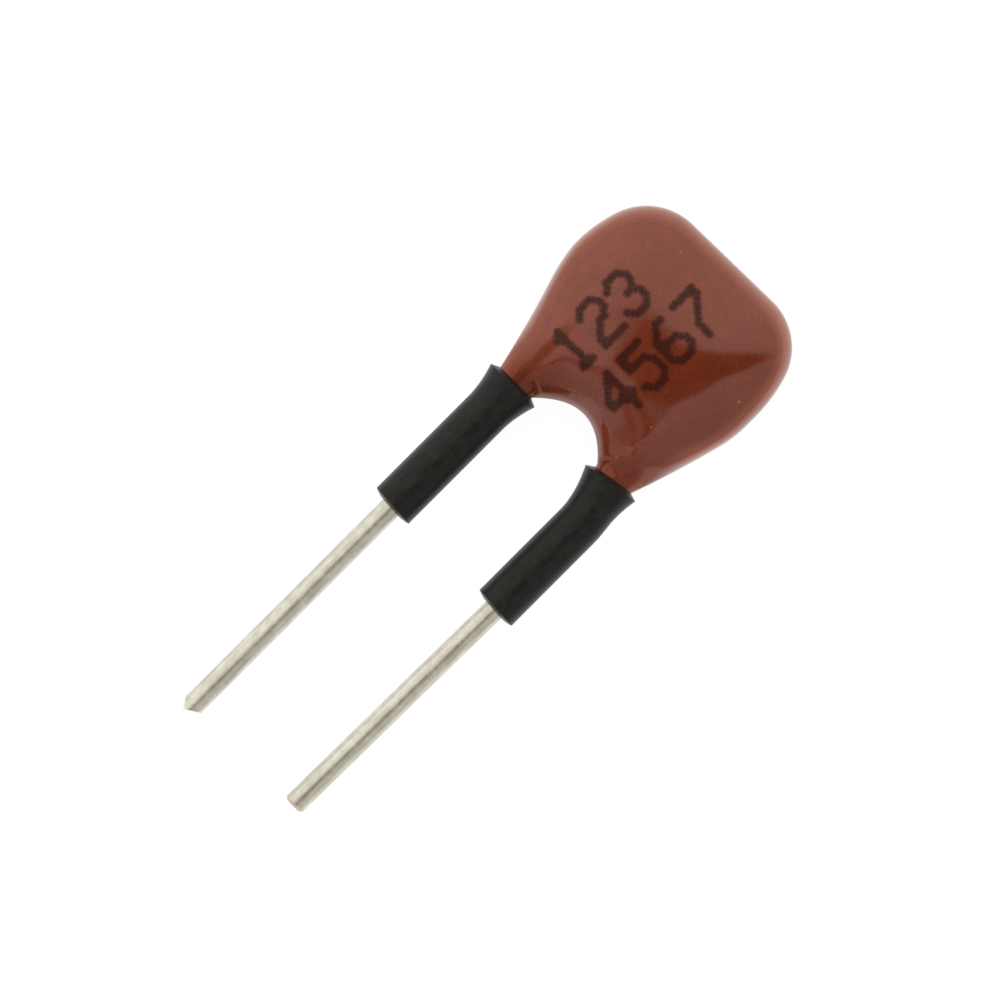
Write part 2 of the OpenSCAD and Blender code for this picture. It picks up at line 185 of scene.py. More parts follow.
class Graph:
    """The node tree of one material or world."""

    def __init__(self, owner: bpy.types.Material | bpy.types.World) -> None:
        """Empty the owner's tree.

        Args:
            owner: The material or world whose nodes are built.
        """
        owner.use_nodes = True
        self.tree = owner.node_tree
        self.tree.nodes.clear()

    def node(self, kind: str, settings: dict[str, Any] | None = None,
             inputs: dict[int | str, Any] | None = None) -> bpy.types.Node:
        """Add any node.

        Args:
            kind: The node's type name.
            settings: Its settings, such as a Math node's operation, which are set first.
            inputs: Values or links of its sockets, by name or number.

        Returns:
            The new node.
        """
        made = self.tree.nodes.new(kind)
        for name, value in (settings or {}).items():
            setattr(made, name, value)
        for name, value in (inputs or {}).items():
            if isinstance(value, Value):
                self.tree.links.new(value.socket, made.inputs[name])
            elif isinstance(value, bpy.types.NodeSocket):
                self.tree.links.new(value, made.inputs[name])
            else:
                made.inputs[name].default_value = value
        return made

    def value(self, node: bpy.types.Node, output: int | str = 0) -> Value:
        """Return one output of a node as a number."""
        return Value(self, node.outputs[output])

    def object_place(self) -> bpy.types.NodeSocket:
        """Return the place on the object, in metres."""
        return self.node("ShaderNodeTexCoord").outputs["Object"]

    def parts(self, vector: bpy.types.NodeSocket) -> tuple[Value, Value, Value]:
        """Return the X, Y and Z of a vector."""
        split = self.node("ShaderNodeSeparateXYZ", None, {0: vector})
        return self.value(split, 0), self.value(split, 1), self.value(split, 2)

    def facing(self, normal: str = "Normal") -> tuple[Value, Value, Value]:
        """Return how far the surface faces along X, Y and Z."""
        return self.parts(self.node("ShaderNodeNewGeometry").outputs[normal])

    def attribute(self, name: str) -> Value:
        """Return a number that the mesh carries at its corners."""
        return self.value(self.node("ShaderNodeAttribute", {"attribute_name": name}), "Fac")

    def stretched(self, place: bpy.types.NodeSocket, scale: Point) -> bpy.types.NodeSocket:
        """Return a place scaled along each axis."""
        return self.node("ShaderNodeMapping", None, {"Vector": place, "Scale": scale}).outputs[0]

    def noise(self, place: bpy.types.NodeSocket, scale: float, detail: float = 2.0,
              roughness: float = 0.5) -> Value:
        """Return a smooth noise from 0 to 1.

        Args:
            place: Where the noise is read.
            scale: Its repeats per metre.
            detail: How many finer layers it has.
            roughness: How strong the finer layers are.

        Returns:
            The noise.
        """
        inputs = {"Vector": place, "Scale": scale, "Detail": detail, "Roughness": roughness}
        return self.value(self.node("ShaderNodeTexNoise", None, inputs))

    def colour(self, share: Value | float, low: Colour | bpy.types.NodeSocket,
               high: Colour | bpy.types.NodeSocket) -> bpy.types.NodeSocket:
        """Mix two colours.

        Args:
            share: The share of the second colour.
            low: The first colour.
            high: The second colour.

        Returns:
            The mixed colour.
        """
        settings = {"data_type": "RGBA", "blend_type": "MIX", "clamp_factor": True}
        ends = [(*end, 1.0) if isinstance(end, tuple) else end for end in (low, high)]
        return self.node("ShaderNodeMix", settings, {0: share, 6: ends[0], 7: ends[1]}).outputs[2]

    def bump(self, height: Value, distance: float, strength: float = 1.0,
             below: bpy.types.NodeSocket | None = None) -> bpy.types.NodeSocket:
        """Return a normal raised by a height.

        Args:
            height: The height, from 0 to 1.
            distance: The depth that a height of 1 stands for, in metres.
            strength: How much of it shows.
            below: The normal of a further bump under this one.

        Returns:
            The normal.
        """
        inputs: dict[int | str, Any] = {
            "Height": height, "Distance": distance, "Strength": strength,
        }
        if below is not None:
            inputs["Normal"] = below
        return self.node("ShaderNodeBump", None, inputs).outputs[0]

    def surface(self, **sockets: Any) -> None:
        """Finish the tree with one principled surface.

        Args:
            sockets: The values or links of its sockets; underscores in names stand for spaces.
        """
        inputs = {name.replace("_", " "): value for name, value in sockets.items()}
        made = self.node("ShaderNodeBsdfPrincipled", None, inputs)
        self.node("ShaderNodeOutputMaterial", None, {"Surface": made.outputs[0]})


@dataclass(frozen=True)
class DippedGloss:
    """Glossy red-brown epoxy, dipped: fine pigment mottle, soft waves and a few pale specks.

    Its colour is paler in a painted rim highlight where the surface turns away from straight up,
    and in a band at the outline that is partly a thinner coat and partly painted highlight.
    A painted dark reflection runs down the left leg, and a painted shade line follows the crease
    inside the outline. Noise scales are in repeats per metre and depths in metres. Spans give
    where a step starts and ends; those of places on the body are in millimetres.
    """

    pigment: Colour = (0.222, 0.042, 0.0175)
    dark_pigment: Colour = (0.143, 0.023, 0.0098)
    # Painted rim highlight colour, in part a thinner coat at the outline.
    thin_coat_and_rim_highlight: Colour = (0.33, 0.095, 0.052)
    edge_glow: Colour = (1.0, 0.84, 0.74)
    painted_dark_reflection: Colour = (0.115, 0.024, 0.012)
    # Painted dark reflection down the left leg.
    speck: Colour = (0.62, 0.5, 0.4)
    grain_scale: float = 21000.0
    patch_scale: float = 1500.0
    grain_share: float = 0.75
    tone_span: Span = (0.34, 0.66)
    speck_scale: float = 7500.0
    speck_span: Span = (0.87, 0.9)
    speck_share: float = 0.4
    # Spans of the painted rim highlight, and of the outline band, which is partly a thinner coat
    # and partly painted highlight that is stronger on the right.
    turned_span: Span = (0.05, 0.9)
    arch_span: Span = (0.1, 0.5)
    arch_share: float = 0.8
    thin_span: Span = (0.1, 0.75)
    highlight_left_share: float = 0.3
    highlight_side_span: Span = (0.5, 3.5)
    thin_reach: Span = (1.0, 3.0)
    # Place and strength of the painted dark reflection down the left leg, where the gloss is also
    # taken away.
    reflection_streak_x: float = -2.44
    reflection_streak_width: Span = (0.06, 0.3)
    reflection_streak_start: Span = (-0.2, 0.2)
    reflection_streak_end: Span = (2.2, 3.4)
    reflection_streak_share: float = 0.5
    reflection_streak_matt: float = 0.9
    # Painted shade line along the crease inside the outline.
    crease_shade_inset: float = 0.62
    crease_shade_width: Span = (0.02, 0.09)
    crease_shade_share: float = 0.25
    leg_coat: float = 0.45
    coat_span: Span = (0.5, 2.2)
    wave_scale: float = 900.0
    wave_depth: float = 0.00001
    wave_strength: float = 0.35
    skin_scale: float = 16000.0
    skin_depth: float = 0.000002
    skin_strength: float = 0.25
    metallic: float = 0.38
    roughness: float = 0.32
    sheen: float = 0.3
    sheen_roughness: float = 0.35

    def mottled(self, graph: Graph, place: bpy.types.NodeSocket) -> bpy.types.NodeSocket:
        """Build the pigment's colour with its grain, patches and specks.

        Args:
            graph: The material's nodes.
            place: The place on the object.

        Returns:
            The colour.
        """
        grain = graph.noise(place, self.grain_scale, detail=2.0, roughness=0.6)
        patches = graph.noise(place, self.patch_scale, detail=3.0, roughness=0.5)
        blend = grain * self.grain_share + patches * (1.0 - self.grain_share)
        tone = graph.colour(blend.step(*self.tone_span), self.dark_pigment, self.pigment)
        specks = graph.noise(place, self.speck_scale, detail=0.0).step(*self.speck_span)
        return graph.colour(specks * self.speck_share, tone, self.speck)

    def pale(self, graph: Graph, inset: Value, side: Value, reach: Value) -> Value:
        """Find where the colour is painted paler: a painted rim highlight where the surface turns
        away from straight up, and a band at the outline, partly a thinner coat and partly painted
        highlight, stronger on the right.

        Args:
            graph: The material's nodes.
            inset: The distance inside the outline.
            side: The place across the body.
            reach: The place along the leads.

        Returns:
            The share of the pale colour.
        """
        _, along, up = graph.facing()
        in_arch = (along * -1.0).step(*self.arch_span)
        # Painted rim highlight where the surface turns away from straight up, weaker in the arch.
        turned = (1.0 - up).step(*self.turned_span) * (1.0 - in_arch * self.arch_share)
        # Outline band: partly a thinner coat, partly painted highlight that grows towards the
        # right.
        thin = ((1.0 - inset.step(*self.thin_span))
                * (self.highlight_left_share + side.step(*self.highlight_side_span) * (1.0 - self.highlight_left_share))
                * reach.step(*self.thin_reach))
        return (turned + thin * (1.0 - turned)).held()

    def material(self) -> bpy.types.Material:
        """Build the finish.

        Returns:
            The material.
        """
        made = bpy.data.materials.new("dipped_gloss")
        graph = Graph(made)
        place = graph.object_place()
        x, y, _ = graph.parts(place)
        side, reach = x * MM_PER_METRE, y * MM_PER_METRE - REST_Y
        inset = graph.attribute("inset")
        # Painted dark reflection down the left leg.
        run = ((1.0 - abs(side - self.reflection_streak_x).step(*self.reflection_streak_width))
               * reach.step(*self.reflection_streak_start) * (1.0 - reach.step(*self.reflection_streak_end)))
        # Painted shade line along the crease inside the outline.
        line = (1.0 - abs(inset - self.crease_shade_inset).step(*self.crease_shade_width)) * self.crease_shade_share
        dark = (line + run * self.reflection_streak_share).held()
        lined = graph.colour(dark, self.mottled(graph, place), self.painted_dark_reflection)
        base = graph.colour(self.pale(graph, inset, side, reach), lined, self.thin_coat_and_rim_highlight)
        full = self.leg_coat + reach.step(*self.coat_span) * (1.0 - self.leg_coat)
        # The painted dark reflection also loses most of its gloss.
        coat = ((1.0 - run * self.reflection_streak_matt) * full).held()
        waves = graph.bump(graph.noise(place, self.wave_scale, detail=1.0), self.wave_depth,
                           self.wave_strength)
        skin = graph.bump(graph.noise(place, self.skin_scale, detail=1.0), self.skin_depth,
                          self.skin_strength, waves)
        graph.surface(Base_Color=base, Metallic=self.metallic, Roughness=self.roughness,
                      Normal=skin, Specular_IOR_Level=0.0, Coat_Weight=coat,
                      Coat_Roughness=GLOSS_ROUGHNESS, Coat_IOR=GLOSS_IOR,
                      Sheen_Weight=self.sheen, Sheen_Roughness=self.sheen_roughness,
                      Sheen_Tint=(*self.edge_glow, 1.0))
        return made


@dataclass(frozen=True)
class TinnedWire:
    """Hot-tinned copper wire: satin, streaked along its length, mottled, copper at a cut end."""

    bright: Colour = (0.79, 0.765, 0.69)
    dull: Colour = (0.55, 0.525, 0.44)
    copper: Colour = (0.66, 0.40, 0.25)
    drawn: Point = (1.0, 0.12, 1.0)
    streak_scale: float = 9000.0
    streak_depth: float = 0.000008
    streak_strength: float = 0.4
    blotch_scale: float = 2600.0
    blotch_depth: float = 0.00001
    blotch_strength: float = 0.3
    tone_span: Span = (0.3, 0.72)
    cut_span: Span = (0.35, 0.75)
    cut_share: float = 0.55
    roughness: float = 0.28
    rough_spread: float = 0.16

    def material(self) -> bpy.types.Material:
        """Build the finish.

        Returns:
            The material.
        """
        made = bpy.data.materials.new("tinned_wire")
        graph = Graph(made)
        place = graph.object_place()
        streaks = graph.noise(graph.stretched(place, self.drawn), self.streak_scale,
                              detail=3.0, roughness=0.6)
        blotches = graph.noise(place, self.blotch_scale, detail=3.0, roughness=0.55)
        blend = (streaks * 0.5 + blotches * 0.5).step(*self.tone_span)
        tone = graph.colour(blend, self.dull, self.bright)
        cut_face = (graph.facing("True Normal")[1] * -1.0).step(*self.cut_span)
        base = graph.colour(cut_face * self.cut_share, tone, self.copper)
        lower = graph.bump(streaks, self.streak_depth, self.streak_strength)
        skin = graph.bump(blotches, self.blotch_depth, self.blotch_strength, lower)
        graph.surface(Base_Color=base, Metallic=1.0, Normal=skin,
                      Roughness=self.roughness + blotches * self.rough_spread)
        return made


@dataclass(frozen=True)
class BlackTubing:
    """Black extruded tubing: semi-matt, faintly lined along its length, with dust specks.

    Its colour is painted a little warmer where it faces right and cooler where it faces left:
    painted reflections of the surroundings.
    """

    black: Colour = (0.007, 0.0072, 0.0066)
    worn: Colour = (0.017, 0.0175, 0.016)
    # Painted reflections on the sides that face right and left.
    warm_reflection: Colour = (0.027, 0.023, 0.018)
    cool_reflection: Colour = (0.019, 0.022, 0.025)
    dust: Colour = (0.34, 0.29, 0.22)
    dust_tint: Colour = (1.0, 0.93, 0.84)
    drawn: Point = (1.0, 0.1, 1.0)
    line_scale: float = 14000.0
    line_depth: float = 0.000006
    line_strength: float = 0.5
    cloud_scale: float = 3000.0
    cloud_depth: float = 0.00001
    cloud_strength: float = 0.3
    tone_span: Span = (0.35, 0.75)
    dust_scale: float = 5200.0
    dust_span: Span = (0.79, 0.82)
    dust_share: float = 0.45
    warm_reflection_span: Span = (0.72, 1.0)
    cool_reflection_span: Span = (0.76, 1.0)
    roughness: float = 0.3
    rough_spread: float = 0.14
    specular: float = 0.2
    sheen: float = 0.1
    sheen_roughness: float = 0.3

    def material(self) -> bpy.types.Material:
        """Build the finish.

        Returns:
            The material.
        """
        made = bpy.data.materials.new("black_tubing")
        graph = Graph(made)
        place = graph.object_place()
        lines = graph.noise(graph.stretched(place, self.drawn), self.line_scale,
                            detail=2.0, roughness=0.6)
        cloud = graph.noise(place, self.cloud_scale, detail=3.0, roughness=0.6)
        blend = (lines * 0.5 + cloud * 0.5).step(*self.tone_span)
        base = graph.colour(blend, self.black, self.worn)
        dust = graph.noise(place, self.dust_scale, detail=1.0).step(*self.dust_span)
        dusted = graph.colour(dust * self.dust_share, base, self.dust)
        # Painted reflections: warmer where the sleeve faces right, cooler where it faces left.
        across = graph.facing()[0]
        warm = graph.colour(across.step(*self.warm_reflection_span), dusted, self.warm_reflection)
        worn = graph.colour((across * -1.0).step(*self.cool_reflection_span), warm, self.cool_reflection)
        lower = graph.bump(cloud, self.cloud_depth, self.cloud_strength)
        skin = graph.bump(lines, self.line_depth, self.line_strength, lower)
        graph.surface(Base_Color=worn, Roughness=self.roughness + cloud * self.rough_spread,
                      Normal=skin, IOR=1.5, Specular_IOR_Level=self.specular,
                      Sheen_Weight=self.sheen, Sheen_Roughness=self.sheen_roughness,
                      Sheen_Tint=(*self.dust_tint, 1.0))
        return made


@dataclass(frozen=True)
class MarkingInk:
    """Dark dot-printed ink under the gloss, thin at the rim of each dot."""

    ink: Colour = (0.052, 0.014, 0.0095)
    patch_scale: float = 12000.0
    cover_low: float = 0.72
    cover_spread: float = 0.3
    roughness: float = 0.42
    coat: float = 0.35

    def material(self) -> bpy.types.Material:
        """Build the finish.

        Returns:
            The material.
        """
        made = bpy.data.materials.new("marking_ink")
        graph = Graph(made)
        patchy = graph.noise(graph.object_place(), self.patch_scale, detail=2.0)
        amount = graph.attribute("ink")
        cover = (amount * (self.cover_low + patchy * self.cover_spread)).held()
        graph.surface(Base_Color=(*self.ink, 1.0), Alpha=cover, Roughness=self.roughness,
                      Specular_IOR_Level=0.0, Coat_Weight=self.coat,
                      Coat_Roughness=GLOSS_ROUGHNESS, Coat_IOR=GLOSS_IOR)
        return made


@dataclass(frozen=True)
class InnerFinish:
    """Plain procedural finish of a piece inside the coating: one tone with a fine grain."""

    name: str
    tone: Colour
    shade: Colour
    grain: float
    metallic: float
    roughness: float
    tone_span: Span = (0.3, 0.7)
    rough_spread: float = 0.12
    depth: float = 0.000004
    strength: float = 0.4

    def material(self) -> bpy.types.Material:
        """Build the finish.

        Returns:
            The material.
        """
        made = bpy.data.materials.new(self.name)
        graph = Graph(made)
        grain = graph.noise(graph.object_place(), self.grain, detail=3.0, roughness=0.6)
        graph.surface(Base_Color=graph.colour(grain.step(*self.tone_span), self.shade, self.tone),
                      Metallic=self.metallic,
                      Roughness=self.roughness + grain * self.rough_spread,
                      Normal=graph.bump(grain, self.depth, self.strength))
        return made


def mesh_object(name: str, points: Sequence[Point], faces: Sequence[Sequence[int]],
                finish: bpy.types.Material) -> bpy.types.Object:
    """Make a smooth mesh object.

    Args:
        name: The piece's name.
        points: Its corners, in metres in the part's frame.
        faces: Its faces, as lists of corners.
        finish: Its material.

    Returns:
        The new object, linked to the scene.
    """
    mesh = bpy.data.meshes.new(name)
    mesh.from_pydata(list(points), [], [list(face) for face in faces])
    mesh.validate()
    for polygon in mesh.polygons:
        polygon.use_smooth = True
    mesh.materials.append(finish)
    made = bpy.data.objects.new(name, mesh)
    bpy.context.scene.collection.objects.link(made)
    return made


def ring_faces(rings: int, count: int, start: int = 0) -> list[tuple[int, int, int, int]]:
    """Return the faces between rings of points.

    Args:
        rings: How many rings follow each other.
        count: How many points each ring has.
        start: The number of the first point.

    Returns:
        The faces, each with four corners.
    """
    faces = []
    for ring in range(rings - 1):
        for place in range(count):
            low = start + ring * count
            high = low + count
            turn = (place + 1) % count
            faces.append((low + place, high + place, high + turn, low + turn))
    return faces


@dataclass
class DippedBody:
    """The coating: a lofted body with two legs, an arch between them and a raised front field."""

    lead_x: float = 2.4
    set_out: float = 0.28
    upper_bend_r: float = 1.5
    lower_bend_r: float = 4.0
    body_w: float = 8.79
    body_h: float = 8.53
    widest_drop: float = 3.33
    side_r: float = 5.8
    corner_r: float = 2.3
    top_tilt: float = 0.018
    top_tilt: float = 0.018
    tilt_from: float = 4.0
    tilt_len: float = 3.0
    leg_sway: float = 0.085
    sway_end: float = 5.0
    arch_h: float = 1.05
    front_h: float = 1.75
    crown_w: float = 1.0
    crown_len: float = 1.2
    crown_drop: float = 4.1
    hip: float = 3.0
    swell: float = 2.2
    back_h: float = 1.1
    back_w: float = 5.1
    back_low_gap: float = 0.3
    back_high_gap: float = 0.1
    edge_r: float = 0.5
    edge_h: float = 0.62
    arch_edge_r: float = 0.22
    arch_edge_h: float = 0.38
    tail_len: float = 1.0
    lip_h: float = 0.15
    sleeve_r: float = 0.845
    rim_r: float = 1.085
    flare_len: float = 1.3
    flare_curve: float = 1.8
    lean_room: float = 0.05
    sleeve_wall: float = 0.31
    sleeve_fit: float = 0.01
    plate_top: float = 6.88
    plate_h: float = 4.2
    leg_blend: float = 2.2
    arch_fade: float = 1.6
    crest_w: float = 0.7
    crest_drop: float = 2.8
    room_soft: float = 0.6
    half_sections: int = 150
    edge_steps: int = 10
    mid_steps: int = 56
    tail_steps: int = 12
    finder_h: float = 10.0
    body: bpy.types.Object | None = field(default=None, repr=False)

    def __post_init__(self) -> None:
        """Work out the outline's centres, angles and lengths."""
        self.leg_r = self.rim_r - self.sleeve_wall - self.sleeve_fit
        widest_y = self.body_h - self.widest_drop
        self.side_c = (self.body_w / 2 - self.side_r, widest_y)
        rise = self.body_h - self.corner_r - widest_y
        reach = math.sqrt((self.side_r - self.corner_r) ** 2 - rise**2)
        self.corner_c = (self.side_c[0] + reach, self.body_h - self.corner_r)
        self.leg_out = (self.lead_x + self.leg_r, self.lip_h)
        to_side = (self.side_c[0] - self.leg_out[0], self.side_c[1] - self.leg_out[1])
        distance = math.hypot(*to_side)
        self.flank = math.asin(self.side_r / distance) - math.atan2(-to_side[0], to_side[1])
        self.corner_from = math.atan2(self.corner_c[1] - self.side_c[1],
                                      self.corner_c[0] - self.side_c[0])
        self.flank_len = math.sqrt(distance**2 - self.side_r**2)
        self.side_len = self.side_r * (self.corner_from + self.flank)
        self.corner_len = self.corner_r * (math.pi / 2 - self.corner_from)
        self.outline_len = self.flank_len + self.side_len + self.corner_len + self.corner_c[0]
        self.arch_x = self.lead_x - self.leg_r
        self.arch_k = (self.arch_h - self.lip_h) / self.arch_x**2
        crown_top = self.body_h - self.crown_drop
        self.front_flat = (self.crown_w / 2, crown_top - self.crown_len, crown_top)
        self.back_flat = (self.back_w / 2, self.plate_top - self.plate_h + self.back_low_gap,
                          self.plate_top - self.back_high_gap)
        self.side_steps = 2 * self.edge_steps + self.mid_steps
        bends = self.upper_bend_r + self.lower_bend_r
        straight = self.lip_h + self.flare_len + self.lean_room
        spread = 2 * bends - self.set_out
        half = (math.sqrt(straight**2 + self.set_out * spread) - straight) / spread
        self.lean = 2 * math.atan(half)
        self.lean_start = (self.lead_x + self.upper_bend_r * (1 - math.cos(self.lean)), self.lip_h)

    def outline(self, run: float) -> tuple[Flat, Flat]:
        """Find a point of the outline.

        Args:
            run: The distance from the leg, along the outline, towards the middle of the top.

        Returns:
            The point and the outward normal.
        """
        if run < self.flank_len:
            along = (math.sin(self.flank), math.cos(self.flank))
            point = (self.leg_out[0] + run * along[0], self.leg_out[1] + run * along[1])
            return point, (along[1], -along[0])
        run -= self.flank_len
        if run < self.side_len:
            return on_circle(self.side_c, self.side_r, -self.flank + run / self.side_r)
        run -= self.side_len
        if run < self.corner_len:
            return on_circle(self.corner_c, self.corner_r, self.corner_from + run / self.corner_r)
        return (self.corner_c[0] - (run - self.corner_len), self.body_h), (0.0, 1.0)

    def arch(self, share: float) -> tuple[Flat, Flat]:
        """Find a point of the arch between the legs.

        Args:
            share: The share of the way from the leg to the crown.

        Returns:
            The point and the outward normal.
        """
        x = self.arch_x * (1 - share)
        slope = -2 * self.arch_k * x
        size = math.hypot(slope, 1.0)
        return (x, self.arch_h - self.arch_k * x * x), (slope / size, -1.0 / size)

    def face_height(self, x: float, y: float, inner: float, outer: float, face: Face) -> float:
        """Find the height of a face above the lead axes.

        Args:
            x: The place across the body.
            y: The place along the leads.
            inner: The distance from the arch.
            outer: The distance from the outline.
            face: The front, which swells to a crown, or the flat back.

        Returns:
            The height.
        """
        flat, full = ((self.front_flat, self.front_h) if face is Face.FRONT
                      else (self.back_flat, self.back_h))
        half, low_y, high_y = flat
        across, along = max(abs(x) - half, 0.0), max(y - high_y, low_y - y, 0.0)
        away = (across**self.hip + along**self.hip) ** (1 / self.hip)
        room = max(soft_min(outer, inner, self.room_soft), 0.0)
        rise = 1 - (1 - room / (room + away + TINY)) ** self.swell
        low = mix(self.arch_edge_h, self.edge_h, ease(inner / self.arch_fade))
        ridge = math.exp(-(((abs(x) - self.lead_x) / self.crest_w) ** 2))
        crest = ridge * (1 - ease((y - self.lip_h) / self.crest_drop))
        return mix(low, full, rise) + (self.leg_r - low) * crest

    def swayed(self, point: Point) -> Point:
        """Move a point of the body by the sway of its legs and the slope of its top edge.

        Args:
            point: The point of the straight body.

        Returns:
            The moved point.
        """
        x, y, z = point
        share = clamp((y - self.lip_h) / (self.sway_end - self.lip_h))
        slope = ease((y - self.tilt_from) / self.tilt_len)
        tilt = self.top_tilt * (x - self.corner_c[0]) * slope
        return (x + self.leg_sway * 4 * share * (1 - share), y + tilt, z)

    def body_step(self, place: int, length: float) -> Flat:
        """Find a step across a section.

        Args:
            place: The step's number, from the arch.
            length: The length of the section.

        Returns:
            The share of the way across, and the share of the full height there.
        """
        if place <= self.edge_steps:
            turn = math.pi / 2 * place / self.edge_steps
            return self.arch_edge_r * (1 - math.cos(turn)) / length, math.sin(turn)
        if place >= self.edge_steps + self.mid_steps:
            turn = math.pi / 2 * (self.side_steps - place) / self.edge_steps
            return 1 - self.edge_r * (1 - math.cos(turn)) / length, math.sin(turn)
        share = (place - self.edge_steps) / self.mid_steps
        return mix(self.arch_edge_r / length, 1 - self.edge_r / length, share), 1.0

    def section_point(self, inner: tuple[Flat, Flat], outer: tuple[Flat, Flat], blend: float,
                      place: int, face: Face) -> Point:
        """Find one point of a section.

        Args:
            inner: The section's point and normal on the arch.
            outer: Its point and normal on the outline.
            blend: 0 for a round leg, 1 for the flat body.
            place: The step's number, from the arch.
            face: The face that the point is on.

        Returns:
            The point, in the working frame.
        """
        (start, start_normal), (end, end_normal) = inner, outer
        length = math.hypot(end[0] - start[0], end[1] - start[1])
        turn = math.pi * place / self.side_steps
        share, full = self.body_step(place, length)
        share = mix((1 - math.cos(turn)) / 2, share, blend)
        x, y = mix(start[0], end[0], share), mix(start[1], end[1], share)
        from_arch = (start[0] - x) * start_normal[0] + (start[1] - y) * start_normal[1]
        from_outline = (end[0] - x) * end_normal[0] + (end[1] - y) * end_normal[1]
        height = self.face_height(x, y, from_arch, from_outline, face)
        z = mix(self.leg_r * math.sin(turn), height * full, blend)
        return (x, y, face.value * z)

    def section(self, inner: tuple[Flat, Flat], outer: tuple[Flat, Flat],
                blend: float) -> list[Point]:
        """Find a closed section, over the front and back underneath.

        Args:
            inner: The section's point and normal on the arch.
            outer: Its point and normal on the outline.
            blend: 0 for a round leg, 1 for the flat body.

        Returns:
            The points, from the arch.
        """
        over = [self.section_point(inner, outer, blend, place, Face.FRONT)
                for place in range(self.side_steps + 1)]
        under = [self.section_point(inner, outer, blend, place, Face.BACK)
                 for place in range(self.side_steps - 1, 0, -1)]
        return over + under

    def inset(self, point: Point, outer: tuple[Flat, Flat]) -> float:
        """Return how far a point lies inside a place on the outline, along its normal."""
        end, normal = outer
        return (end[0] - point[0]) * normal[0] + (end[1] - point[1]) * normal[1]

    def flare(self, drop: float) -> float:
        """Return a sleeve's outer radius at a distance below its rim."""
        narrowing = clamp(1 - drop / self.flare_len) ** self.flare_curve
        return self.sleeve_r + (self.rim_r - self.sleeve_r) * narrowing

    def tail(self, top: Flat, lean: float) -> list[list[Point]]:
        """Return the round sections of the coating inside a sleeve, from the lowest.

        Args:
            top: The place where the leg meets its tail.
            lean: The lead's angle from the body's axis.

        Returns:
            The sections.
        """
        along = (math.sin(lean), -math.cos(lean))
        across = (math.cos(lean), math.sin(lean))
        sections = []
        for step in range(self.tail_steps, -1, -1):
            drop = self.tail_len * step / self.tail_steps
            below = self.lip_h + drop
            centre = (top[0] + below * along[0], top[1] + below * along[1])
            radius = self.flare(drop) - self.sleeve_wall - self.sleeve_fit
            turns = [math.pi * place / self.side_steps for place in range(2 * self.side_steps)]
            sections.append([(centre[0] - radius * math.cos(turn) * across[0],
                              centre[1] - radius * math.cos(turn) * across[1],
                              radius * math.sin(turn)) for turn in turns])
        return sections

    def build(self, finish: bpy.types.Material) -> bpy.types.Object:
        """Build the coating and let it stand for its solid.

        Args:
            finish: The material.

        Returns:
            The new piece.
        """
        half, insets = [], [[1.0] * (2 * self.side_steps)] * (self.tail_steps + 1)
        for step in range(self.half_sections + 1):
            share = step / self.half_sections
            run = share * self.outline_len
            blend = ease(run / self.leg_blend)
            half.append(self.section(self.arch(share), self.outline(run), blend))
            insets.append([self.inset(point, self.outline(run)) for point in half[-1]])
        plumb = self.tail((self.lead_x, self.lip_h), 0.0)
        left = [[(-x, y, z) for x, y, z in ring] for ring in plumb + half]
        right = list(reversed(self.tail(self.lean_start, self.lean) + half[:-1]))
        rings = left + right
        points = [to_part(self.swayed(point)) for ring in rings for point in ring]
        count = 2 * self.side_steps
        faces: list[Sequence[int]] = list(ring_faces(len(rings), count))
        faces.append(tuple(range(count)))
        faces.append(tuple(range(len(points) - 1, len(points) - 1 - count, -1)))
        self.body = mesh_object("dipped_body", points, faces, finish)
        layer = self.body.data.attributes.new("inset", "FLOAT", "POINT")
        mirrored = insets + insets[-2::-1]
        layer.data.foreach_set("value", [value for ring in mirrored for value in ring])
        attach(self.body, "root")
        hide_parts("coating")
        return self.body

    def surface_finder(self) -> Callable[[float, float], float]:
        """Make a function that finds the front's surface.

        Returns:
            The function, which gives a height in metres over a place in millimetres.
        """
        mesh = self.body.data
        tree = BVHTree.FromPolygons([vertex.co for vertex in mesh.vertices],
                                    [polygon.vertices for polygon in mesh.polygons])

        def height(x: float, y: float) -> float:
            """Return the height over the point x, y of the working frame."""
            start = Vector(to_part((x, y, self.finder_h)))
            return tree.ray_cast(start, Vector((0.0, 0.0, -1.0)))[0].z

        return height


GLYPHS: dict[str, tuple[str, ...]] = {
    "1": ("..#..", ".##..", "..#..", "..#..", "..#..", "..#..", ".###."),
    "2": (".###.", "#...#", "....#", "..##.", ".#...", "#....", "#####"),
    "3": (".###.", "#...#", "....#", "..##.", "....#", "#...#", ".###."),
    "4": ("...#.", "..##.", ".#.#.", "#..#.", "#####", "...#.", "...#."),
    "5": ("#####", "#....", "####.", "....#", "....#", "#...#", ".###."),
    "6": ("..##.", ".#...", "#....", "####.", "#...#", "#...#", ".###."),
    "7": ("#####", "....#", "...#.", "..#..", ".#...", ".#...", ".#..."),
}


